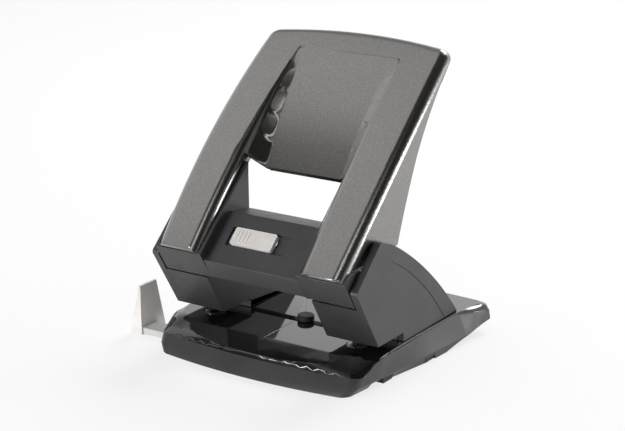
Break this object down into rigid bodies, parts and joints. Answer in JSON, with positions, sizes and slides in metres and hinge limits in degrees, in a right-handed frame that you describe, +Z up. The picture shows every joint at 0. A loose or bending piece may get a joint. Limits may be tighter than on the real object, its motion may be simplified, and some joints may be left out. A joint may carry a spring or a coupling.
{
  "type": "hole punch",
  "caption": "Long-lever two-hole desk punch with a raised scooped lever, side housings, a lock slider, a sliding paper guide and a hinged chip tray.",
  "frame": {"origin": "midway between the two punched holes, on the surface the punch stands on", "axes": "+X to the right of someone who faces the paper side, +Y from the paper side to the back, +Z up"},
  "size_m": [0.144, 0.1169, 0.1407],
  "materials": {
    "dark_matte": "fine matt moulding",
    "gloss_black": "polished",
    "flake_cover": "metallic flake under clear coat",
    "steel": "zinc plated",
    "hard_steel": "ground",
    "bronze": "sintered",
    "light_plastic": "satin",
    "bar_plastic": "satin, with a scale of fine ticks",
    "tray_plastic": "smooth",
    "rubber": "soft"
  },
  "bodies": {
    "base": {"base_tray": "dark_matte", "base_cover": "gloss_black", "base_plate": "steel", "rubber_feet": "rubber", "lever_buffer": "rubber", "chip_tray_pin": "steel", "guide_channel": "steel", "right_housing": "dark_matte", "left_housing": "dark_matte", "right_bracket": "steel", "left_bracket": "steel", "bracket_screws": "steel", "housing_screws": "steel", "right_die": "hard_steel", "left_die": "hard_steel", "right_guide_bush": "bronze", "left_guide_bush": "bronze", "right_return_spring": "steel", "left_return_spring": "steel", "right_pivot_pin": "hard_steel", "left_pivot_pin": "hard_steel"},
    "lever": {"lever_cover": "flake_cover", "lever_frame": "dark_matte", "right_press_lever": "steel", "left_press_lever": "steel", "cover_screws": "steel", "lock_retainer": "steel"},
    "lock": {"lock_slider": "light_plastic", "lock_bolt": "steel"},
    "right_punch": {"right_punch_pin": "hard_steel", "right_pin_head": "steel"},
    "left_punch": {"left_punch_pin": "hard_steel", "left_pin_head": "steel"},
    "paper_guide": {"guide_bar": "bar_plastic", "guide_stop": "light_plastic"},
    "chip_tray": {"chip_tray": "tray_plastic"}
  },
  "joints": [
    {"name": "lever_hinge", "type": "hinge", "parent": "base", "child": "lever", "pos_m": [0, -0.017, 0.046], "axis": [1, 0, 0], "range_deg": [-37, 0], "stiffness_Nm_per_rad": 0.9, "springref_deg": 14.32},
    {"name": "right_punch_slide", "type": "slide", "parent": "base", "child": "right_punch", "axis": [0, 0, 1], "range_m": [-0.0115, 0], "deforming": ["right_return_spring"]},
    {"name": "left_punch_slide", "type": "slide", "parent": "base", "child": "left_punch", "axis": [0, 0, 1], "range_m": [-0.0115, 0], "deforming": ["left_return_spring"]},
    {"name": "lock_slide", "type": "slide", "parent": "lever", "child": "lock", "axis": [1, 0, 0], "range_m": [0, 0.005]},
    {"name": "guide_slide", "type": "slide", "parent": "base", "child": "paper_guide", "axis": [-1, 0, 0], "range_m": [0, 0.0765]},
    {"name": "chip_tray_hinge", "type": "hinge", "parent": "base", "child": "chip_tray", "pos_m": [0, 0.0405, 0.003], "axis": [1, 0, 0], "range_deg": [0, 60]}
  ],
  "couplings": [
    {"joint": "right_punch_slide", "follows": "lever_hinge", "m_per_rad": 0.01762},
    {"joint": "left_punch_slide", "follows": "lever_hinge", "m_per_rad": 0.01762}
  ]
}
